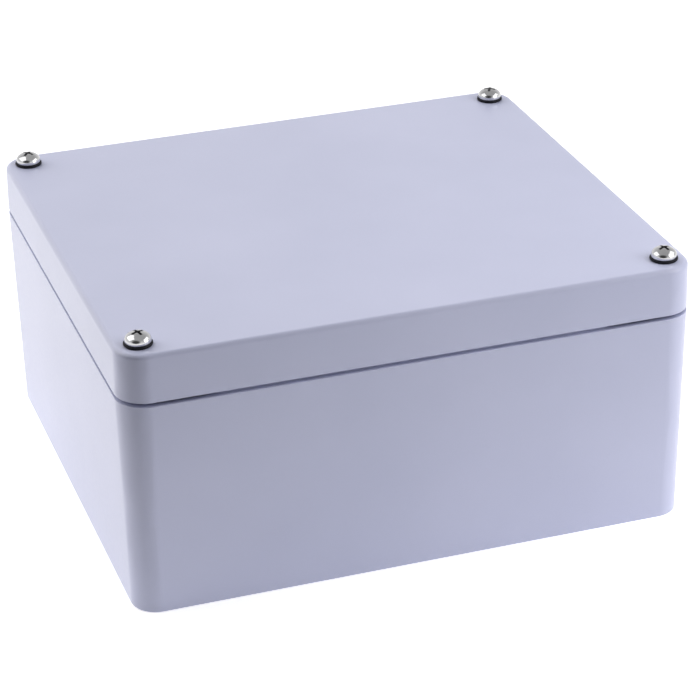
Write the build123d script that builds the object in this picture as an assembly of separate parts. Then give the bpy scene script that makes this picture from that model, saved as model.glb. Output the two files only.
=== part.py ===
from build123d import *
from math import atan2, degrees
import os

# Die cast aluminium box: a drafted tub with a tray shaped lid, a 1.6 mm shadow gap between
# them and four captive screws in corner wells that lie outside the seal.
# Millimetres. +X along the long side, +Z up, origin at the centre of the underside.

length = 230.0            # outside, at the gap
width = 205.6
height = 109.8            # underside to the lid's top face, screw heads not counted
gap = 1.6
lid_height = 19.4
corner_radius = 12.0      # upright corners, at the gap
base_draft = 1.5          # each side of the base leans in by this much down to the floor
lid_draft = 0.3           # each side of the lid leans in by this much up to the top
lid_edge_radius = 2.0
foot_edge_radius = 0.5
rim_chamfer = 0.15        # outer edges on both sides of the gap

floor_thickness = 4.0
floor_radius = 2.5
plate_radius = 1.5
plate_thickness = 3.5
corner_wall = 2.6         # outer wall where a corner well lies behind it
inner_draft = 0.5

seal_setback = 3.0        # outer face to the middle of the sealing tongue
seal_corner = 6.0         # bend radius of the seal line
pocket_x = 81.0           # the seal line turns inboard here to pass each corner well
pocket_y = 80.0
tongue_width = 2.0
tongue_reach = 2.3        # how far the tongue enters the lid's channel
channel_width = 2.8
channel_depth = 5.0
lip_outer = 1.6
lip_inner = 2.0
pocket_wall = 3.0
gasket_width = 2.6
gasket_bite = 0.6         # how deep the tongue is pressed into the gasket
gasket_play = 0.08

screw_x = 105.0           # lid screws
screw_y = 91.9
pillar_radius = 5.5
pillar_neck_radius = 5.0
thread_radius = 2.42      # M5, the thread's own form is left out
tapped_radius = 2.5
tapped_depth = 14.0
block_reach = 14.0        # the corner round each pillar is filled out to the walls
block_drop = 3.0          # and stops this far below the rim
block_skin = 1.0
waist_radius = 1.9
head_radius = 5.05
head_rim = 1.0
head_height = 4.0
screw_length = 30.0       # below the head
tip_chamfer = 0.5
lid_recess = (5.2, 1.4, 2.5)   # cross recess: span and slot width at the top, depth
lid_hole_radius = 2.75
counterbore_radius = 3.9
counterbore_depth = 14.6  # up from the lid's lower edge
ring_radius = 3.6
ring_thickness = 1.0
ring_above_pillar = 0.7
washer_radius = 5.55
washer_thickness = 1.1
washer_hole = 2.6
ring_play = 0.1

wall_hole_x = 90.0        # holes that fix the box to a wall, M6
wall_hole_y = 90.0
wall_hole_radius = 3.25

boss_radius = 4.5         # M4 bosses for a mounting plate and a rail
boss_height = 8.0
boss_x = 98.0
boss_y = 60.0
m4_tapped_radius = 2.0
m4_tapped_depth = 7.0
boss_fillet = 1.0

earth_x = -62.0           # earth terminals in base and lid
earth_y = -80.0
earth_boss_radius = 5.0
earth_boss_height = 8.0
m4_thread_radius = 1.93
m4_neck_radius = 1.7
m4_neck_length = 1.4
earth_screw_length = 8.0
earth_head_radius = 4.0
earth_head_rim = 0.8
earth_head_height = 3.1
earth_recess = (4.4, 1.1, 2.0)
flat_washer_radius = 4.5
flat_washer_thickness = 0.8
lock_washer_radius = 3.6
lock_washer_thickness = 1.0
lock_washer_slit = 0.8
m4_washer_hole = 2.15

base_height = height - lid_height - gap
gap_top = base_height + gap
tongue_top = gap_top + tongue_reach
plate_under = height - plate_thickness
seal_half_length = length / 2 - seal_setback
seal_half_width = width / 2 - seal_setback
washer_top = height + washer_thickness
screw_tip = washer_top - screw_length
ring_bottom = gap_top + ring_above_pillar
web_under = gap_top + counterbore_depth
deep = 0.5                # how far a cutter runs past the face that it opens

corners = {
    "front_left": (-1, -1),
    "front_right": (1, -1),
    "back_left": (-1, 1),
    "back_right": (1, 1),
}


def rounded(half_x, half_y, radius, z):
    return Pos(0, 0, z) * RectangleRounded(2 * half_x, 2 * half_y, radius)


def outline(inset, z):
    """Outer contour of the box at the gap, taken in on every side."""
    return rounded(length / 2 - inset, width / 2 - inset, corner_radius - inset, z)


def seal_outline(grow, z):
    """Area inside the seal line, which turns inboard round each corner well."""
    x_out = seal_half_length + grow
    y_out = seal_half_width + grow
    x_in = pocket_x + grow
    y_in = pocket_y + grow
    convex = seal_corner + grow
    concave = seal_corner - grow
    points = []
    radii = []
    for sx, sy in ((1, 1), (-1, 1), (-1, -1), (1, -1)):
        turn = [(sx * x_out, sy * y_in), (sx * x_in, sy * y_in), (sx * x_in, sy * y_out)]
        if sx * sy < 0:
            turn.reverse()
        points += turn
        radii += [convex, concave, convex]
    line = FilletPolyline(*points, radius=radii, close=True)
    return Pos(0, 0, z) * make_face(line)


def seal_band(half, z_low, z_high):
    """Closed band along the seal line, half as wide again on each side of it."""
    band = extrude(seal_outline(half, z_low), z_high - z_low)
    return band - extrude(seal_outline(-half, z_low), z_high - z_low)


def drafted(contour, rise, lean):
    """Extrusion whose sides lean inwards by lean over its whole rise."""
    return extrude(contour, rise, taper=degrees(atan2(lean, abs(rise))))


def turned(points, x, y):
    """Solid turned about an upright axis from (radius, height) points."""
    profile = Plane.XZ * make_face(Polyline(*points, close=True))
    return Pos(x, y, 0) * revolve(profile, Axis.Z)


def post(x, y, radius, z_low, z_high):
    return Pos(x, y, z_low) * extrude(Circle(radius), z_high - z_low)


def block(x0, x1, y0, y1, z0, z1):
    centre = Pos((x0 + x1) / 2, (y0 + y1) / 2, (z0 + z1) / 2)
    return centre * Box(abs(x1 - x0), abs(y1 - y0), z1 - z0)


def save(part, name):
    solids = part.solids()
    shape = solids[0] if len(solids) == 1 else Compound(children=list(solids))
    shape.label = name
    export_step(shape, "parts/" + name + ".step")


def corner_block(sx, sy, z0, z1):
    """Fills the corner between a screw pillar and both outer walls."""
    return block(
        sx * (screw_x - pillar_radius), sx * (screw_x + block_reach),
        sy * screw_y, sy * (screw_y + block_reach), z0, z1,
    ) + block(
        sx * screw_x, sx * (screw_x + block_reach),
        sy * (screw_y - pillar_radius), sy * (screw_y + block_reach), z0, z1,
    )


def make_base():
    body = drafted(outline(0, base_height), -base_height, base_draft)
    under = body.edges().group_by(Axis.Z)[0]
    body = chamfer(fillet(under, foot_edge_radius).edges().group_by(Axis.Z)[-1], rim_chamfer)
    skin = drafted(outline(block_skin, base_height), -base_height, base_draft)
    deep_draft = base_draft + inner_draft
    well_depth = base_height - floor_thickness
    half = tongue_width / 2
    cavity = drafted(seal_outline(-half, base_height), -well_depth, deep_draft)
    cavity = fillet(cavity.edges().group_by(Axis.Z)[0], floor_radius)
    wells = drafted(outline(corner_wall, base_height), -well_depth, deep_draft)
    wells -= drafted(seal_outline(pocket_wall - half, base_height), -well_depth, -inner_draft)
    body = body - cavity - wells
    body += seal_band(half, base_height, tongue_top)
    block_top = base_height - block_drop
    for sx, sy in corners.values():
        x = sx * screw_x
        y = sy * screw_y
        body += corner_block(sx, sy, floor_thickness / 2, block_top) & skin
        body += post(x, y, pillar_radius, floor_thickness / 2, block_top)
        body += post(x, y, pillar_neck_radius, block_top, gap_top)
        body -= post(x, y, tapped_radius, gap_top - tapped_depth, gap_top)
        body -= post(sx * wall_hole_x, sy * wall_hole_y, wall_hole_radius, 0, floor_thickness + deep)
    for x in (-boss_x, boss_x):
        for y in (-boss_y, 0, boss_y):
            body = add_boss(body, x, y, boss_radius, boss_height)
    return add_boss(body, earth_x, earth_y, earth_boss_radius, earth_boss_height)


def add_boss(body, x, y, radius, tall):
    """Cast boss on the floor with an M4 hole and a run-out at its foot."""
    top = floor_thickness + tall
    foot = floor_thickness - deep
    cone = [
        (0, foot), (radius + boss_fillet, foot), (radius + boss_fillet, floor_thickness),
        (radius, floor_thickness + boss_fillet), (radius, top), (0, top),
    ]
    body += turned(cone, x, y)
    return body - post(x, y, m4_tapped_radius, top - m4_tapped_depth, top)


def make_lid():
    body = drafted(outline(0, gap_top), lid_height, lid_draft)
    body = fillet(body.edges().group_by(Axis.Z)[-1], lid_edge_radius)
    body = chamfer(body.edges().group_by(Axis.Z)[0], rim_chamfer)
    half = channel_width / 2
    well_depth = plate_under - gap_top
    wells = drafted(outline(corner_wall, gap_top), well_depth, inner_draft)
    wells -= drafted(seal_outline(half + lip_outer, gap_top), well_depth, -inner_draft)
    cavity = drafted(seal_outline(-half - lip_inner, gap_top), well_depth, inner_draft)
    cavity = fillet(cavity.edges().group_by(Axis.Z)[-1], plate_radius)
    body = body - wells - cavity - seal_band(half, gap_top, gap_top + channel_depth)
    skin = extrude(outline(block_skin, gap_top), plate_under - gap_top + deep)
    for sx, sy in corners.values():
        x = sx * screw_x
        y = sy * screw_y
        body += corner_block(sx, sy, gap_top, plate_under + deep) & skin
        body += post(x, y, pillar_radius, gap_top, plate_under + deep)
        body -= post(x, y, counterbore_radius, gap_top, web_under)
        body -= post(x, y, lid_hole_radius, web_under, height)
    boss_low = plate_under - earth_boss_height
    body += post(earth_x, earth_y, earth_boss_radius, boss_low, plate_under + deep)
    return body - post(earth_x, earth_y, m4_tapped_radius, boss_low, boss_low + m4_tapped_depth)


def make_gasket():
    bottom = tongue_top - gasket_bite
    ring = seal_band(gasket_width / 2, bottom, gap_top + channel_depth)
    return ring - seal_band(tongue_width / 2 + gasket_play, bottom, tongue_top + gasket_play)


def cross_recess(z_top, span, wide, depth):
    """Cross slots that narrow towards the screw's axis."""
    arm = Plane.XZ * make_face(Polyline(
        (-span / 2, depth), (span / 2, depth), (wide / 2, 0), (-wide / 2, 0), close=True))
    slot = extrude(arm, wide / 2, both=True)
    return Pos(0, 0, z_top - depth) * (slot + Rot(0, 0, 90) * slot)


def pan_screw(seat, tip, thread, neck, neck_low, head, rim, tall, recess):
    """Screw on the Z axis: domed head on z = seat, and a thinner neck above z = neck_low."""
    crown = seat + tall
    rise = tall - rim
    dome_radius = (head ** 2 + rise ** 2) / (2 * rise)
    half_up = crown - dome_radius + (dome_radius ** 2 - (head / 2) ** 2) ** 0.5
    side = Polyline(
        (0, crown), (0, tip), (thread - tip_chamfer, tip), (thread, tip + tip_chamfer),
        (thread, neck_low), (neck, neck_low), (neck, seat), (head, seat), (head, seat + rim),
    )
    dome = ThreePointArc((head, seat + rim), (head / 2, half_up), (0, crown))
    return revolve(Plane.XZ * make_face(side + dome), Axis.Z) - cross_recess(crown, *recess)


def make_lid_screw(x, y):
    return Pos(x, y, 0) * pan_screw(
        washer_top, screw_tip, thread_radius, waist_radius, ring_bottom,
        head_radius, head_rim, head_height, lid_recess)


def ring_solid(x, y, outer, inner, z, thick):
    return post(x, y, outer, z, z + thick) - post(x, y, inner, z, z + thick)


def make_earth_set(side):
    """Screw, flat washer and slit lock washer, on the floor boss or under the lid's boss."""
    flat = ring_solid(0, 0, flat_washer_radius, m4_washer_hole, 0, flat_washer_thickness)
    lock = ring_solid(0, 0, lock_washer_radius, m4_washer_hole,
                      flat_washer_thickness, lock_washer_thickness)
    lock -= Pos(lock_washer_radius, 0, flat_washer_thickness) * Box(
        2 * lock_washer_radius, lock_washer_slit, 4 * lock_washer_thickness)
    seat = flat_washer_thickness + lock_washer_thickness
    screw = pan_screw(
        seat, seat - earth_screw_length, m4_thread_radius, m4_neck_radius, seat - m4_neck_length,
        earth_head_radius, earth_head_rim, earth_head_height, earth_recess)
    if side == "base":
        place = Pos(earth_x, earth_y, floor_thickness + earth_boss_height)
    else:
        place = Pos(earth_x, earth_y, plate_under - earth_boss_height) * Rot(180, 0, 0)
    return {
        side + "_earth_screw": place * screw,
        side + "_earth_washer": place * flat,
        side + "_earth_lock_washer": place * lock,
    }


def make_parts():
    parts = {"base": make_base(), "lid": make_lid(), "gasket": make_gasket()}
    for name, (sx, sy) in corners.items():
        x = sx * screw_x
        y = sy * screw_y
        parts["lid_screw_" + name] = make_lid_screw(x, y)
        parts["sealing_washer_" + name] = ring_solid(
            x, y, washer_radius, washer_hole, height, washer_thickness)
        parts["retaining_ring_" + name] = ring_solid(
            x, y, ring_radius, waist_radius + ring_play, ring_bottom, ring_thickness)
    parts.update(make_earth_set("base"))
    parts.update(make_earth_set("lid"))
    return parts


os.makedirs("parts", exist_ok=True)
for node, solid in make_parts().items():
    save(solid, node)
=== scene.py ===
import math

import bmesh
import bpy
from mathutils import Matrix, Vector


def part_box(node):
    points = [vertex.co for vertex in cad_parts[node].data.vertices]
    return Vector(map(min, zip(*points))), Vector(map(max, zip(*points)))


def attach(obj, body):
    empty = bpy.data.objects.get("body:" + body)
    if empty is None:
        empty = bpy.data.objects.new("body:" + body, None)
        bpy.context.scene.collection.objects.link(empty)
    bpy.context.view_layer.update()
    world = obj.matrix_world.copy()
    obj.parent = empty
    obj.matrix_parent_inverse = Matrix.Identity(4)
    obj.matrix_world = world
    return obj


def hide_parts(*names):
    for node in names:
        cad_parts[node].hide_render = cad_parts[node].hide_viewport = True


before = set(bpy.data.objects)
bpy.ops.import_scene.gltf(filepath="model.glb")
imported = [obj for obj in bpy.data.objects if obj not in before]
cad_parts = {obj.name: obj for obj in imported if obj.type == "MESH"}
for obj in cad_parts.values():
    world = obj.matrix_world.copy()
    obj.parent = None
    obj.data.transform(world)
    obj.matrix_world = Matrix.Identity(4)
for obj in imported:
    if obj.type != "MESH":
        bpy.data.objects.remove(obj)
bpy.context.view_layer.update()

mm = 0.001
corners = ("front_left", "front_right", "back_left", "back_right")


def axisOf(node):
    low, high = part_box(node)
    return (low.x + high.x) / 2, (low.y + high.y) / 2


def addNode(tree, kind, links=(), values=(), **settings):
    node = tree.nodes.new(kind)
    for name, value in settings.items():
        setattr(node, name, value)
    for socket, value in values:
        node.inputs[socket].default_value = value
    for socket, source in links:
        tree.links.new(source, node.inputs[socket])
    return node


def twoColours(tree, source, first, second):
    mix = addNode(tree, "ShaderNodeMix", data_type="RGBA", links=((0, source),))
    mix.inputs[6].default_value = (*first, 1)
    mix.inputs[7].default_value = (*second, 1)
    return mix.outputs[2]


# camera: the photograph's own viewpoint, found from the box's edges

camera = {
    "lens": 134.47,                       # mm, on a 36 mm sensor
    "place": (-0.3001, -0.9281, 0.5323),  # m
    "turn": 18.294,                       # degrees to the right of straight ahead
    "down": 26.510,
    "roll": -1.079,
}


def setCamera():
    data = bpy.data.cameras.new("photoCamera")
    data.lens = camera["lens"]
    data.clip_end = 50
    shot = bpy.data.objects.new("photoCamera", data)
    bpy.context.scene.collection.objects.link(shot)
    shot.matrix_world = (
        Matrix.Translation(camera["place"])
        @ Matrix.Rotation(-math.radians(camera["turn"]), 4, "Z")
        @ Matrix.Rotation(math.radians(90 - camera["down"]), 4, "X")
        @ Matrix.Rotation(math.radians(camera["roll"]), 4, "Z")
    )
    bpy.context.scene.camera = shot
    bpy.context.scene.view_settings.view_transform = "Standard"
    print("camera set")


# studio: soft boxes left, right and above, a large light behind, a pale wall and a white floor

white = (1, 1, 1)
lamps = {
    "leftBox": {"place": (-0.44, 0.16, 0.56), "size": (0.6, 0.5), "power": 1.1,
                "tint": white, "mirrored": True},
    "leftBack": {"place": (-0.6, 0.55, 0.3), "size": (0.6, 0.5), "power": 2.5,
                 "tint": (1, 0.97, 0.88), "mirrored": False},
    "rightBox": {"place": (0.6, -0.25, 0.6), "size": (0.75, 0.4), "power": 1.2,
                 "tint": white, "mirrored": True},
    "rightNear": {"place": (0.52, -0.42, 0.32), "size": (0.4, 0.4), "power": 1.9,
                  "tint": white, "mirrored": True},
    "overhead": {"place": (0.35, -0.25, 0.75), "size": (0.5, 0.5), "power": 1.9,
                 "tint": white, "mirrored": False},
    "backHigh": {"place": (0.6, 1.4, 1.0), "size": (2.4, 1.4), "power": 12.6,
                 "tint": white, "mirrored": False},
}
studio = {
    "room": (1.0, 0.98, 0.94),       # light that reaches the object from all round
    "roomStrength": 0.02,
    # a pale wall: degrees right of the front and up, whole within the inner angle, none past the outer
    "leftWall": {"turn": -150, "rise": 12, "inner": 20, "outer": 62, "strength": 1.75},
    # what metal sees: a pale horizon, a greyer ceiling and the dark side the camera stands on
    "horizon": 1.0,
    "ceiling": 0.45,
    "ceilingFrom": 0.8,             # how far up a direction points where the ceiling is whole
    "darkSide": {"turn": -32, "rise": 25, "inner": 18, "outer": 42, "strength": 0.06},
    "floorNear": (0.88, 0.88, 0.90),
    "floorFar": (0.20, 0.20, 0.21),
    "floorEdge": (0.20, 0.50),      # m from the middle, where the near shade ends and the far one starts
    "floorPool": (0.14, 0.80),      # light the floor near the object gives back to it, left and right
    "floorPoolHalf": 0.25,          # m from the middle, where each side's value is reached
    "floorLift": (0.5, 1.0),        # added for the camera, near and far, so that the floor is white
    "floorSize": 8.0,
    "floorDrop": 0.1 * mm,          # keeps the floor just clear of the underside
}


def setLamps():
    target = Vector((0, 0, 0.06))
    for name, lamp in lamps.items():
        data = bpy.data.lights.new(name, "AREA")
        data.shape = "RECTANGLE"
        data.size, data.size_y = lamp["size"]
        data.energy = lamp["power"]
        data.color = lamp["tint"]
        light = bpy.data.objects.new(name, data)
        bpy.context.scene.collection.objects.link(light)
        light.visible_glossy = lamp["mirrored"]
        light.location = lamp["place"]
        light.rotation_euler = (target - light.location).to_track_quat("-Z", "Y").to_euler()


def seenDirectly(tree):
    path = addNode(tree, "ShaderNodeLightPath")
    first = addNode(tree, "ShaderNodeMath", operation="MAXIMUM", links=(
        (0, path.outputs["Is Camera Ray"]), (1, path.outputs["Is Glossy Ray"])))
    return addNode(tree, "ShaderNodeMath", operation="MAXIMUM", links=(
        (0, first.outputs[0]), (1, path.outputs["Is Transmission Ray"]))).outputs[0]


def facing(tree, direction, zone):
    turn, rise = math.radians(zone["turn"]), math.radians(zone["rise"])
    middle = (math.cos(rise) * math.sin(turn), -math.cos(rise) * math.cos(turn), math.sin(rise))
    near = addNode(tree, "ShaderNodeVectorMath", operation="DOT_PRODUCT",
                   links=((0, direction),), values=((1, middle),))
    return addNode(tree, "ShaderNodeMapRange", interpolation_type="SMOOTHSTEP",
                   links=((0, near.outputs["Value"]),), values=(
                       (1, math.cos(math.radians(zone["outer"]))),
                       (2, math.cos(math.radians(zone["inner"]))))).outputs[0]


def setWorld():
    world = bpy.data.worlds.new("studioRoom")
    bpy.context.scene.world = world
    world.use_nodes = True
    tree = world.node_tree
    tree.nodes.clear()
    path = addNode(tree, "ShaderNodeLightPath")
    direction = addNode(tree, "ShaderNodeTexCoord").outputs["Generated"]
    glow = addNode(tree, "ShaderNodeMath", operation="MULTIPLY_ADD", links=(
        (0, facing(tree, direction, studio["leftWall"])),), values=(
        (1, studio["leftWall"]["strength"]), (2, studio["roomStrength"]))).outputs[0]
    room = addNode(tree, "ShaderNodeBackground", links=((1, glow),),
                   values=((0, (*studio["room"], 1)),))
    split = addNode(tree, "ShaderNodeSeparateXYZ", links=((0, direction),))
    above = addNode(tree, "ShaderNodeMapRange", links=((0, split.outputs["Z"]),), values=(
        (1, 0.0), (2, studio["ceilingFrom"]), (3, studio["horizon"]), (4, studio["ceiling"])))
    dark = addNode(tree, "ShaderNodeMapRange", links=(
        (0, facing(tree, direction, studio["darkSide"])), (3, above.outputs[0])),
        values=((4, studio["darkSide"]["strength"]),))
    backdrop = addNode(tree, "ShaderNodeBackground", values=((0, (*white, 1)),))
    glossy = addNode(tree, "ShaderNodeBackground", links=((1, dark.outputs[0]),),
                     values=((0, (*white, 1)),))
    shiny = addNode(tree, "ShaderNodeMath", operation="MAXIMUM", links=(
        (0, path.outputs["Is Glossy Ray"]), (1, path.outputs["Is Transmission Ray"])))
    first = addNode(tree, "ShaderNodeMixShader", links=(
        (0, shiny.outputs[0]), (1, room.outputs[0]), (2, glossy.outputs[0])))
    second = addNode(tree, "ShaderNodeMixShader", links=(
        (0, path.outputs["Is Camera Ray"]), (1, first.outputs[0]), (2, backdrop.outputs[0])))
    addNode(tree, "ShaderNodeOutputWorld", links=((0, second.outputs[0]),))


def setFloor():
    half = studio["floorSize"] / 2
    mesh = bpy.data.meshes.new("studioFloor")
    low = -studio["floorDrop"]
    mesh.from_pydata([(-half, -half, low), (half, -half, low), (half, half, low), (-half, half, low)],
                     [], [(0, 1, 2, 3)])
    floor = bpy.data.objects.new("studioFloor", mesh)
    bpy.context.scene.collection.objects.link(floor)
    material = bpy.data.materials.new("floorWhite")
    material.use_nodes = True
    tree = material.node_tree
    tree.nodes.clear()
    where = addNode(tree, "ShaderNodeTexCoord")
    reach = addNode(tree, "ShaderNodeVectorMath", operation="LENGTH", links=((0, where.outputs["Object"]),))
    away = addNode(tree, "ShaderNodeMapRange", interpolation_type="SMOOTHSTEP",
                   links=((0, reach.outputs["Value"]),),
                   values=((1, studio["floorEdge"][0]), (2, studio["floorEdge"][1])))
    matt = addNode(tree, "ShaderNodeBsdfDiffuse", links=(
        (0, twoColours(tree, away.outputs[0], studio["floorNear"], studio["floorFar"])),))
    added = addNode(tree, "ShaderNodeMapRange", links=((0, away.outputs[0]),), values=(
        (3, studio["floorLift"][0]), (4, studio["floorLift"][1])))
    split = addNode(tree, "ShaderNodeSeparateXYZ", links=((0, where.outputs["Object"]),))
    side = addNode(tree, "ShaderNodeMapRange", links=((0, split.outputs["X"]),), values=(
        (1, -studio["floorPoolHalf"]), (2, studio["floorPoolHalf"]),
        (3, studio["floorPool"][0]), (4, studio["floorPool"][1])))
    pool = addNode(tree, "ShaderNodeMapRange", links=((0, away.outputs[0]), (3, side.outputs[0])),
                   values=((4, 0.0),))
    lift = addNode(tree, "ShaderNodeMapRange", links=(
        (0, seenDirectly(tree)), (3, pool.outputs[0]), (4, added.outputs[0])))
    glow = addNode(tree, "ShaderNodeEmission", links=((1, lift.outputs[0]),))
    both = addNode(tree, "ShaderNodeAddShader", links=((0, matt.outputs[0]), (1, glow.outputs[0])))
    addNode(tree, "ShaderNodeOutputMaterial", links=((0, both.outputs[0]),))
    mesh.materials.append(material)
    print("studio set")


# finishes

def newFinish(name):
    material = bpy.data.materials.new(name)
    material.use_nodes = True
    tree = material.node_tree
    shader = tree.nodes["Principled BSDF"]
    place = addNode(tree, "ShaderNodeTexCoord").outputs["Object"]
    return material, tree, shader, place


def noise(tree, place, scale, detail=2.0, roughness=0.5):
    return addNode(tree, "ShaderNodeTexNoise", links=(("Vector", place),), values=(
        ("Scale", scale), ("Detail", detail), ("Roughness", roughness))).outputs["Fac"]


def spread(tree, source, low, high, edges=(0.3, 0.7)):
    return addNode(tree, "ShaderNodeMapRange", links=((0, source),), values=(
        (1, edges[0]), (2, edges[1]), (3, low), (4, high))).outputs[0]


def bump(tree, height, distance, strength=1.0, under=None):
    node = addNode(tree, "ShaderNodeBump", links=(("Height", height),), values=(
        ("Distance", distance), ("Strength", strength)))
    if under:
        tree.links.new(under, node.inputs["Normal"])
    return node.outputs[0]


powderCoat = {
    "pale": (0.508, 0.526, 0.694),
    "deep": (0.470, 0.490, 0.653),
    "roughness": (0.29, 0.34),
    "cloudScale": 14.0,            # slow change of shade over the casting, per metre
    "grainShare": 0.35,            # how much of the change of shade follows the grain
    "shadeEdges": (0.45, 0.9),     # noise at which the deep and the pale shade are whole
    "peelScale": 620.0,            # orange peel of the powder coat
    "peelDepth": 0.004 * mm,
    "grainScale": 2600.0,
    "grainDepth": 0.002 * mm,
}


def makePowderCoat():
    material, tree, shader, place = newFinish("powderCoat")
    clouds = noise(tree, place, powderCoat["cloudScale"], 3)
    grain = noise(tree, place, powderCoat["grainScale"], 2)
    peel = noise(tree, place, powderCoat["peelScale"], 2)
    shade = addNode(tree, "ShaderNodeMath", operation="MULTIPLY_ADD", links=(
        (0, grain), (2, clouds)), values=((1, powderCoat["grainShare"]),)).outputs[0]
    colour = twoColours(tree, spread(tree, shade, 0, 1, powderCoat["shadeEdges"]),
                        powderCoat["deep"], powderCoat["pale"])
    tree.links.new(colour, shader.inputs["Base Color"])
    tree.links.new(spread(tree, peel, *powderCoat["roughness"]), shader.inputs["Roughness"])
    ripple = bump(tree, peel, powderCoat["peelDepth"])
    tree.links.new(bump(tree, grain, powderCoat["grainDepth"], under=ripple),
                   shader.inputs["Normal"])
    return material


slowPatch = 9                  # patches of shade on metal are this many times the fine grain
dustPatch = 6                  # and those of dust on rubber this many times its cells
metals = {
    "brightSteel": {"pale": (0.70, 0.70, 0.71), "deep": (0.60, 0.60, 0.61),
                    "roughness": (0.08, 0.14), "scale": 1500.0, "depth": 0.001 * mm},
    # inside of the cross recess: darker steel, painted shade for the little light that reaches it
    "recessPaintedShade": {"pale": (0.26, 0.26, 0.27), "deep": (0.10, 0.10, 0.11),
                    "roughness": (0.30, 0.45), "scale": 1700.0, "depth": 0.004 * mm},
    "springSteel": {"pale": (0.50, 0.50, 0.52), "deep": (0.36, 0.36, 0.39),
                    "roughness": (0.28, 0.42), "scale": 1900.0, "depth": 0.006 * mm},
    "zincPlate": {"pale": (0.74, 0.75, 0.76), "deep": (0.58, 0.60, 0.64),
                  "roughness": (0.22, 0.36), "scale": 1300.0, "depth": 0.005 * mm},
    "cutAluminium": {"pale": (0.84, 0.84, 0.85), "deep": (0.70, 0.71, 0.73),
                     "roughness": (0.20, 0.32), "scale": 2400.0, "depth": 0.004 * mm},
}


def makeMetal(name):
    metal = metals[name]
    material, tree, shader, place = newFinish(name)
    fine = noise(tree, place, metal["scale"], 4, 0.6)
    slow = noise(tree, place, metal["scale"] / slowPatch, 2)
    tree.links.new(twoColours(tree, spread(tree, slow, 0, 1), metal["deep"], metal["pale"]),
                   shader.inputs["Base Color"])
    tree.links.new(spread(tree, fine, *metal["roughness"]), shader.inputs["Roughness"])
    tree.links.new(bump(tree, fine, metal["depth"]), shader.inputs["Normal"])
    shader.inputs["Metallic"].default_value = 1.0
    return material


rubbers = {
    "washerRubber": {"pale": (0.012, 0.012, 0.018), "deep": (0.005, 0.005, 0.009),
                     "roughness": (0.45, 0.60), "sheen": 0.15, "scale": 900.0, "depth": 0.010 * mm},
    "sealFoam": {"pale": (0.045, 0.045, 0.047), "deep": (0.015, 0.015, 0.017),
                 "roughness": (0.65, 0.85), "sheen": 0.4, "scale": 2200.0, "depth": 0.060 * mm},
}


def makeRubber(name):
    rubber = rubbers[name]
    material, tree, shader, place = newFinish(name)
    cells = addNode(tree, "ShaderNodeTexVoronoi", links=(("Vector", place),),
                    values=(("Scale", rubber["scale"]),)).outputs["Distance"]
    dust = noise(tree, place, rubber["scale"] / dustPatch, 3)
    tree.links.new(twoColours(tree, spread(tree, dust, 0, 1), rubber["deep"], rubber["pale"]),
                   shader.inputs["Base Color"])
    tree.links.new(spread(tree, dust, *rubber["roughness"]), shader.inputs["Roughness"])
    tree.links.new(bump(tree, cells, rubber["depth"]), shader.inputs["Normal"])
    shader.inputs["Specular IOR Level"].default_value = rubber["sheen"]
    return material


setCamera()
setLamps()
setWorld()
setFloor()
powder = makePowderCoat()
metal = {name: makeMetal(name) for name in metals}
rubber = {name: makeRubber(name) for name in rubbers}
print("finishes made")


# castings: copies of the solids' meshes, with welded corners and true shading

casting = {
    "weld": 0.002 * mm,
    "sharpFrom": 32,          # degrees between faces
}


def bake(piece):
    bpy.context.view_layer.update()
    evaluated = piece.evaluated_get(bpy.context.evaluated_depsgraph_get())
    mesh = bpy.data.meshes.new_from_object(evaluated)
    piece.modifiers.clear()
    old = piece.data
    piece.data = mesh
    bpy.data.meshes.remove(old)
    mesh.name = piece.name
    return piece


def addPiece(name, mesh):
    piece = bpy.data.objects.new(name, mesh)
    bpy.context.scene.collection.objects.link(piece)
    return piece


def shaded(name, work, finishes):
    sharp = math.radians(casting["sharpFrom"])
    for face in work.faces:
        face.smooth = True
    for edge in work.edges:
        edge.smooth = edge.is_manifold and edge.calc_face_angle(0) < sharp
    mesh = bpy.data.meshes.new(name)
    work.to_mesh(mesh)
    work.free()
    for finish in finishes:
        mesh.materials.append(finish)
    piece = addPiece(name, mesh)
    weighted = piece.modifiers.new("trueShading", "WEIGHTED_NORMAL")
    weighted.keep_sharp = True
    weighted.weight = 100
    return bake(piece)


def welded(mesh):
    work = bmesh.new()
    work.from_mesh(mesh)
    bmesh.ops.remove_doubles(work, verts=work.verts, dist=casting["weld"])
    bmesh.ops.dissolve_degenerate(work, edges=work.edges, dist=casting["weld"])
    return work


def onBody(piece, body, slot, *nodes):
    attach(piece, body)
    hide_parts(*nodes)


# what repeats: trees of Geometry Nodes with named inputs

socketKinds = {
    "number": "NodeSocketFloat",
    "count": "NodeSocketInt",
    "vector": "NodeSocketVector",
    "finish": "NodeSocketMaterial",
}


def calc(tree, operation, *terms):
    node = tree.nodes.new("ShaderNodeMath")
    node.operation = operation
    for socket, term in zip(node.inputs, terms):
        if isinstance(term, (int, float)):
            socket.default_value = term
        else:
            tree.links.new(term, socket)
    return node.outputs[0]


def newTree(name, **inputs):
    tree = bpy.data.node_groups.new(name, "GeometryNodeTree")
    tree.interface.new_socket("Geometry", in_out="OUTPUT", socket_type="NodeSocketGeometry")
    for label, kind in inputs.items():
        tree.interface.new_socket(label, in_out="INPUT", socket_type=socketKinds[kind])
    return tree, tree.nodes.new("NodeGroupInput").outputs


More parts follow.
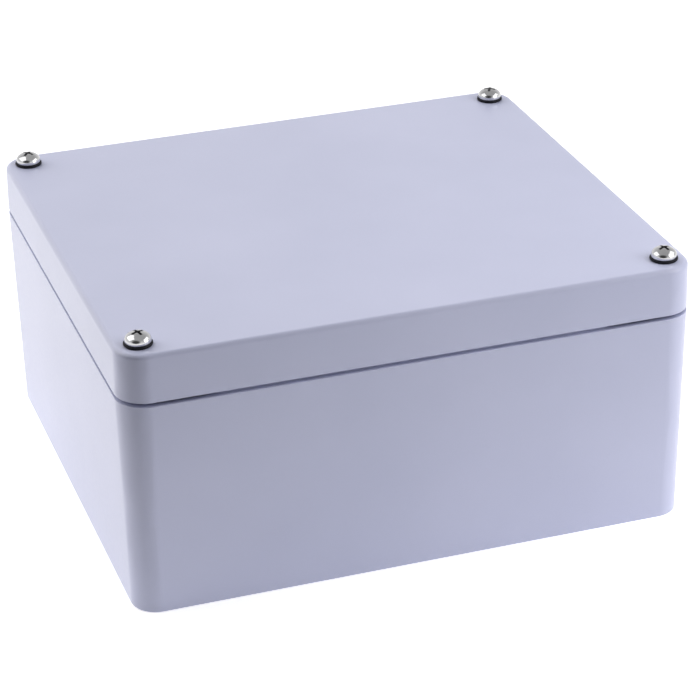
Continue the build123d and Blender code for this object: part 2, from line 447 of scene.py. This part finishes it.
def endTree(tree, geometry, given):
    index = addNode(tree, "GeometryNodeInputIndex").outputs[0]
    column = calc(tree, "MODULO", index, given["columns"])
    row = calc(tree, "FLOOR", calc(tree, "DIVIDE", index, given["columns"]))
    lastX = calc(tree, "SUBTRACT", given["columns"], 1)
    lastY = calc(tree, "SUBTRACT", given["rows"], 1)
    stepX = calc(tree, "SUBTRACT", column, calc(tree, "DIVIDE", lastX, 2))
    stepY = calc(tree, "SUBTRACT", row, calc(tree, "DIVIDE", lastY, 2))
    place = addNode(tree, "ShaderNodeCombineXYZ", links=(
        (0, calc(tree, "MULTIPLY", stepX, given["spacingX"])),
        (1, calc(tree, "MULTIPLY", stepY, given["spacingY"]))))
    centred = addNode(tree, "ShaderNodeVectorMath", operation="ADD", links=(
        (0, place.outputs[0]), (1, given["centre"])))
    points = addNode(tree, "GeometryNodePoints", links=(
        ("Count", calc(tree, "MULTIPLY", given["columns"], given["rows"])),
        ("Position", centred.outputs[0])))
    copies = addNode(tree, "GeometryNodeInstanceOnPoints", links=(
        ("Points", points.outputs[0]), ("Instance", geometry)))
    real = addNode(tree, "GeometryNodeRealizeInstances", links=((0, copies.outputs[0]),))
    painted = addNode(tree, "GeometryNodeSetMaterial", links=(
        ("Geometry", real.outputs[0]), ("Material", given["finish"])))
    addNode(tree, "NodeGroupOutput", links=((0, painted.outputs[0]),))
    return tree


def fromTree(name, tree, **values):
    piece = addPiece(name, bpy.data.meshes.new(name))
    modifier = piece.modifiers.new(tree.name, "NODES")
    modifier.node_group = tree
    for socket in tree.interface.items_tree:
        if socket.in_out == "INPUT":
            modifier[socket.identifier] = values[socket.name]
    return bake(piece)


def ringTree():
    tree, given = newTree("roundedRings", outer="number", inner="number", thickness="number",
                          edge="number", around="count", columns="count", rows="count",
                          spacingX="number", spacingY="number", centre="vector", finish="finish")
    middle = calc(tree, "DIVIDE", calc(tree, "ADD", given["outer"], given["inner"]), 2)
    path = addNode(tree, "GeometryNodeCurvePrimitiveCircle", links=(
        ("Resolution", given["around"]), ("Radius", middle)))
    upright = addNode(tree, "GeometryNodeSetCurveNormal", mode="Z_UP", links=(
        ("Curve", path.outputs[0]),))
    section = addNode(tree, "GeometryNodeCurvePrimitiveQuadrilateral", links=(
        ("Width", calc(tree, "SUBTRACT", given["outer"], given["inner"])),
        ("Height", given["thickness"])))
    eased = addNode(tree, "GeometryNodeFilletCurve", mode="POLY", links=(
        ("Curve", section.outputs[0]), ("Radius", given["edge"])), values=(("Count", 4),))
    ring = addNode(tree, "GeometryNodeCurveToMesh", links=(
        ("Curve", upright.outputs[0]), ("Profile Curve", eased.outputs[0])))
    return endTree(tree, ring.outputs[0], given)


# one pitch of a thread, in parts of the pitch: root flat, flank, crest flat, flank
threadForm = (0.167, 0.354, 0.125, 0.354)


def threadTree():
    tree, given = newTree("threads", crest="number", root="number", pitch="number",
                          bottom="number", top="number", bottomRadius="number",
                          topRadius="number", side="number", around="count",
                          columns="count", rows="count", spacingX="number",
                          spacingY="number", centre="vector", finish="finish")
    tall = calc(tree, "SUBTRACT", given["top"], given["bottom"])
    turns = calc(tree, "ADD", calc(tree, "CEIL", calc(tree, "DIVIDE", tall, given["pitch"])), 2)
    steps = calc(tree, "MULTIPLY", turns, given["around"])
    grid = addNode(tree, "GeometryNodeMeshGrid", links=(
        ("Size X", steps), ("Vertices X", calc(tree, "ADD", steps, 1))),
        values=(("Size Y", 4.0), ("Vertices Y", 5)))
    here = addNode(tree, "GeometryNodeInputPosition").outputs[0]
    split = addNode(tree, "ShaderNodeSeparateXYZ", links=((0, here),))
    along = calc(tree, "ROUND", calc(tree, "ADD", split.outputs[0], calc(tree, "DIVIDE", steps, 2)))
    across = calc(tree, "ROUND", calc(tree, "ADD", split.outputs[1], 2.0))
    part = 0.0
    for corner, width in enumerate(threadForm):
        past = calc(tree, "GREATER_THAN", across, corner + 0.5)
        part = calc(tree, "ADD", part, calc(tree, "MULTIPLY", past, width))
    onCrest = calc(tree, "MULTIPLY", calc(tree, "GREATER_THAN", across, 1.5),
                   calc(tree, "LESS_THAN", across, 3.5))
    turn = calc(tree, "DIVIDE", along, given["around"])
    rise = calc(tree, "MULTIPLY", calc(tree, "ADD", calc(tree, "SUBTRACT", turn, 1), part), given["pitch"])
    height = calc(tree, "MINIMUM", given["top"], calc(tree, "MAXIMUM", given["bottom"], calc(
        tree, "ADD", given["bottom"], rise)))
    deep = calc(tree, "MULTIPLY", onCrest, calc(tree, "SUBTRACT", given["crest"], given["root"]))
    reach = calc(tree, "MULTIPLY", given["side"], calc(tree, "ADD", given["root"], deep))
    low = calc(tree, "ADD", calc(tree, "MULTIPLY", given["side"], given["bottomRadius"]),
               calc(tree, "SUBTRACT", height, given["bottom"]))
    high = calc(tree, "ADD", calc(tree, "MULTIPLY", given["side"], given["topRadius"]),
                calc(tree, "SUBTRACT", given["top"], height))
    radius = calc(tree, "MULTIPLY", given["side"], calc(tree, "MINIMUM", reach, calc(
        tree, "MINIMUM", low, high)))
    angle = calc(tree, "MULTIPLY", turn, 2 * math.pi)
    place = addNode(tree, "ShaderNodeCombineXYZ", links=(
        (0, calc(tree, "MULTIPLY", radius, calc(tree, "COSINE", angle))),
        (1, calc(tree, "MULTIPLY", radius, calc(tree, "SINE", angle))), (2, height)))
    wound = addNode(tree, "GeometryNodeSetPosition", links=(
        ("Geometry", grid.outputs[0]), ("Position", place.outputs[0])))
    merged = addNode(tree, "GeometryNodeMergeByDistance", links=(("Geometry", wound.outputs[0]),),
                     values=(("Distance", casting["weld"]),))
    return endTree(tree, merged.outputs[0], given)


rings = ringTree()
threads = threadTree()
atOnePlace = {"columns": 1, "rows": 1, "spacingX": 0.0, "spacingY": 0.0}
print("trees made")


def addTurned(work, outline, around, place=Matrix()):
    rows = []
    for radius, height in outline:
        steps = around if radius > 0 else 1
        rows.append([work.verts.new(place @ Vector((
            radius * math.cos(2 * math.pi * step / steps),
            radius * math.sin(2 * math.pi * step / steps), height))) for step in range(steps)])
    for lower, upper in zip(rows, rows[1:]):
        for step in range(around):
            ring = [lower[step % len(lower)], lower[(step + 1) % around % len(lower)],
                    upper[(step + 1) % around % len(upper)], upper[step % len(upper)]]
            if len(lower) == 1:
                ring.pop(1)
            elif len(upper) == 1:
                ring.pop(2)
            work.faces.new(ring)


# tapped holes: sleeves of thread inside the base's casting

tappedHoles = {
    "corner": {"root": 1.99 * mm, "crest": 2.48 * mm, "wall": 2.56 * mm, "pitch": 0.8 * mm, "around": 40,
               "from": 76.9 * mm, "to": 90.4 * mm, "columns": 2, "rows": 2},
    "boss": {"root": 1.56 * mm, "crest": 1.98 * mm, "wall": 2.06 * mm, "pitch": 0.7 * mm, "around": 36,
             "from": 5.3 * mm, "to": 12.0 * mm, "columns": 2, "rows": 3,
             "spacingX": 196 * mm, "spacingY": 60 * mm},
}
screwX, screwY = axisOf("lid_screw_back_right")
tappedHoles["corner"].update(spacingX=2 * screwX, spacingY=2 * screwY)


def tapped(name):
    hole = tappedHoles[name]
    piece = fromTree(name + "_thread", threads, crest=hole["crest"], root=hole["root"],
                     pitch=hole["pitch"], bottom=hole["from"], top=hole["to"],
                     bottomRadius=hole["wall"], topRadius=hole["wall"], side=-1.0,
                     around=hole["around"], columns=hole["columns"], rows=hole["rows"],
                     spacingX=hole["spacingX"], spacingY=hole["spacingY"],
                     centre=(0, 0, 0), finish=metal["cutAluminium"])
    work = bmesh.new()
    work.from_mesh(piece.data)
    bpy.data.objects.remove(piece)
    for column in range(hole["columns"]):
        for row in range(hole["rows"]):
            place = Matrix.Translation((
                (column - (hole["columns"] - 1) / 2) * hole["spacingX"],
                (row - (hole["rows"] - 1) / 2) * hole["spacingY"], 0))
            addTurned(work, ((hole["wall"], hole["from"]), (hole["wall"], hole["to"])),
                      hole["around"], place)
    bmesh.ops.remove_doubles(work, verts=work.verts, dist=casting["weld"])
    bmesh.ops.recalc_face_normals(work, faces=work.faces)
    for face in work.faces:
        face.material_index = 1
    return work


def addMesh(work, other):
    mesh = bpy.data.meshes.new("joined")
    other.to_mesh(mesh)
    other.free()
    work.from_mesh(mesh)
    bpy.data.meshes.remove(mesh)


work = welded(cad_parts["base"].data)
for name in tappedHoles:
    addMesh(work, tapped(name))
onBody(shaded("base_casting", work, (powder, metal["cutAluminium"])), "base", "paint", "base")
work = welded(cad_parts["lid"].data)
onBody(shaded("lid_casting", work, (powder,)), "lid", "paint", "lid")
work = welded(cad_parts["gasket"].data)
onBody(shaded("seal", work, (rubber["sealFoam"],)), "lid", "gasket", "gasket")
print("castings made")


# sealing washers under the screw heads

sealingWasher = {"outer": 5.55 * mm, "inner": 2.6 * mm, "edge": 0.42 * mm, "around": 72}
low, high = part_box("sealing_washer_front_left")
washers = fromTree("washer_blanks", rings, outer=sealingWasher["outer"], inner=sealingWasher["inner"],
                   thickness=high.z - low.z, edge=sealingWasher["edge"],
                   around=sealingWasher["around"], columns=2, rows=2, spacingX=2 * screwX,
                   spacingY=2 * screwY, centre=(0, 0, (low.z + high.z) / 2),
                   finish=rubber["washerRubber"])
onBody(shaded("sealing_washers", welded(washers.data), (rubber["washerRubber"],)), "lid",
       "washer_rubber", *("sealing_washer_" + name for name in corners))
bpy.data.objects.remove(washers)


# retaining rings, one on each screw's waist

retainingRing = {"outer": 3.6 * mm, "inner": 2.0 * mm, "edge": 0.12 * mm, "around": 56}
for name in corners:
    node = "retaining_ring_" + name
    low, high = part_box(node)
    ring = fromTree(node + "_blank", rings, outer=retainingRing["outer"], inner=retainingRing["inner"],
                    thickness=high.z - low.z, edge=retainingRing["edge"],
                    around=retainingRing["around"], centre=(low + high) / 2,
                    finish=metal["springSteel"], **atOnePlace)
    onBody(shaded(node + "_steel", welded(ring.data), (metal["springSteel"],)), "screw_rise_" + name,
           "ring_steel", node)
    bpy.data.objects.remove(ring)
print("washers and rings made")


# screws: domed head with a cross recess, plain waist, rolled thread

lidScrew = {
    "head": 5.05 * mm, "rim": 1.0 * mm, "tall": 4.0 * mm, "length": 30.0 * mm,
    "plain": 19.8 * mm,           # from the head down to the thread
    "waist": 1.9 * mm, "root": 1.93 * mm, "crest": 2.42 * mm, "pitch": 0.8 * mm,
    "span": 6.2 * mm, "slot": 1.15 * mm, "deep": 2.5 * mm,
    "around": 64,
}
earthScrew = {
    "head": 4.0 * mm, "rim": 0.8 * mm, "tall": 3.1 * mm, "length": 8.0 * mm,
    "plain": 1.4 * mm,
    "waist": 1.47 * mm, "root": 1.50 * mm, "crest": 1.93 * mm, "pitch": 0.7 * mm,
    "span": 4.4 * mm, "slot": 1.05 * mm, "deep": 2.0 * mm,
    "around": 48,
}
headForm = {"foot": 0.12 * mm, "domeSteps": 21}
tipStep = 0.15 * mm               # the tip's edge, in from the thread's root
recessForm = {
    "over": 0.3 * mm,             # the cutter reaches this far above the head
    "wider": 0.1 * mm,            # and this far past the span, on each side
    "footHalf": 0.55 * mm,        # half an arm's length at its foot
    "footSlot": 0.8,              # width at the foot, in parts of the slot
    "coneFoot": 0.62,             # radii of the middle cone, in parts of the slot
    "coneTop": 0.98,
    "coneRise": 0.1 * mm,
    "coneTip": 0.35 * mm,         # below the arms
    "coneSides": 12,
    "sunk": 0.97,                 # of the dome's own surface: what lies deeper is recess, and gets painted shade
    # how far below the recess's foot the painted shade still reaches
    "shadeBelow": 0.5 * mm,
}
recessTurn = {"front_left": 20, "front_right": 19, "back_left": 45, "back_right": 62}   # degrees
earthRecessTurn = 28


def headOutline(screw):
    foot = headForm["foot"]
    steps = headForm["domeSteps"]
    points = [(screw["waist"], -screw["plain"]), (screw["waist"], 0)]
    points += [(screw["head"] - foot, 0), (screw["head"] - foot / 3, foot / 3), (screw["head"], foot)]
    for step in range(steps + 1):        # an oval dome, full at the shoulders
        angle = math.pi / 2 * step / steps
        points.append((screw["head"] * math.cos(angle) if step < steps else 0.0,
                       screw["rim"] + (screw["tall"] - screw["rim"]) * math.sin(angle)))
    return points


# which faces of a screw get the painted shade of the cross recess
def inPaintedShade(screw, point):
    rise = (point.z - screw["rim"]) / (screw["tall"] - screw["rim"])
    sunk = (point.xy.length / screw["head"]) ** 2 + rise ** 2 < recessForm["sunk"]
    return (sunk and point.xy.length < screw["span"] / 2 + recessForm["wider"]
            and point.z > screw["tall"] - screw["deep"] - recessForm["shadeBelow"])


def recessCutter(screw, degreesTurned):
    work = bmesh.new()
    form = recessForm
    top = screw["tall"] + form["over"]
    low = screw["tall"] - screw["deep"]
    ends = (
        (low, form["footHalf"], form["footSlot"] * screw["slot"]),
        (top, screw["span"] / 2 + form["wider"], screw["slot"]),
    )
    for turn in (0, 90):
        turned = Matrix.Rotation(math.radians(turn + degreesTurned), 3, "Z")
        lower, upper = (
            [work.verts.new(turned @ Vector((x * half, y * thick / 2, z)))
             for x, y in ((-1, -1), (1, -1), (1, 1), (-1, 1))]
            for z, half, thick in ends)
        work.faces.new(reversed(lower))
        work.faces.new(upper)
        for step in range(4):
            work.faces.new((lower[step], lower[(step + 1) % 4], upper[(step + 1) % 4], upper[step]))
    cone = [
        (0, low - form["coneTip"]), (form["coneFoot"] * screw["slot"], low + form["coneRise"]),
        (form["coneTop"] * screw["slot"], top), (0, top),
    ]
    addTurned(work, cone, form["coneSides"], Matrix.Rotation(math.radians(45 + degreesTurned), 4, "Z"))
    bmesh.ops.recalc_face_normals(work, faces=work.faces)
    mesh = bpy.data.meshes.new("recessCutter")
    work.to_mesh(mesh)
    work.free()
    return addPiece("recessCutter", mesh)


def makeScrew(name, screw, place, recessDegrees, finish):
    tip = screw["root"] - tipStep
    shank = fromTree(name + "_shank", threads, crest=screw["crest"], root=screw["root"],
                     pitch=screw["pitch"], bottom=-screw["length"], top=-screw["plain"],
                     bottomRadius=tip, topRadius=screw["waist"], side=1.0,
                     around=screw["around"], centre=(0, 0, 0), finish=finish, **atOnePlace)
    work = bmesh.new()
    work.from_mesh(shank.data)
    bpy.data.objects.remove(shank)
    addTurned(work, headOutline(screw), screw["around"])
    addTurned(work, ((0, -screw["length"]), (tip, -screw["length"])), screw["around"])
    bmesh.ops.remove_doubles(work, verts=work.verts, dist=casting["weld"])
    bmesh.ops.recalc_face_normals(work, faces=work.faces)
    mesh = bpy.data.meshes.new(name)
    work.to_mesh(mesh)
    work.free()
    blank = addPiece(name + "_blank", mesh)
    cutter = recessCutter(screw, recessDegrees)
    cut = blank.modifiers.new("crossRecess", "BOOLEAN")
    cut.operation = "DIFFERENCE"
    cut.solver = "EXACT"
    cut.use_self = True
    cut.object = cutter
    bake(blank)
    work = bmesh.new()
    work.from_mesh(blank.data)
    bpy.data.objects.remove(blank)
    bpy.data.objects.remove(cutter)
    bmesh.ops.remove_doubles(work, verts=work.verts, dist=casting["weld"])
    # faces deep in the cross recess get the darker steel: painted shade
    for face in work.faces:
        face.material_index = 1 if inPaintedShade(screw, face.calc_center_median()) else 0
    work.transform(place)
    return shaded(name, work, (finish, metal["recessPaintedShade"]))


for name in corners:
    x, y = axisOf("lid_screw_" + name)
    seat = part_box("sealing_washer_" + name)[1].z
    piece = makeScrew("lid_screw_" + name + "_steel", lidScrew, Matrix.Translation((x, y, seat)),
                      recessTurn[name], metal["brightSteel"])
    onBody(piece, "screw_turn_" + name, "screw_steel", "lid_screw_" + name)
print("lid screws made")


# earth terminals: screw, flat washer and slit lock washer

earthWasher = {"outer": 4.5 * mm, "inner": 2.15 * mm, "edge": 0.15 * mm, "around": 56}
for side in ("base", "lid"):
    x, y = axisOf(side + "_earth_screw")
    low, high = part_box(side + "_earth_lock_washer")
    if side == "base":
        place = Matrix.Translation((x, y, high.z))
    else:
        place = Matrix.Translation((x, y, low.z)) @ Matrix.Rotation(math.pi, 4, "X")
    piece = makeScrew(side + "_earth_screw_zinc", earthScrew, place, earthRecessTurn,
                      metal["zincPlate"])
    onBody(piece, side, "earth_steel", side + "_earth_screw")
    low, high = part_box(side + "_earth_washer")
    flat = fromTree(side + "_earth_blank", rings, outer=earthWasher["outer"], inner=earthWasher["inner"],
                    thickness=high.z - low.z, edge=earthWasher["edge"], around=earthWasher["around"],
                    centre=(low + high) / 2, finish=metal["zincPlate"], **atOnePlace)
    onBody(shaded(side + "_earth_washer_zinc", welded(flat.data), (metal["zincPlate"],)), side,
           "earth_steel", side + "_earth_washer")
    bpy.data.objects.remove(flat)
    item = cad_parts[side + "_earth_lock_washer"]
    item.data.materials.clear()
    item.data.materials.append(metal["zincPlate"])
print("earth terminals made")
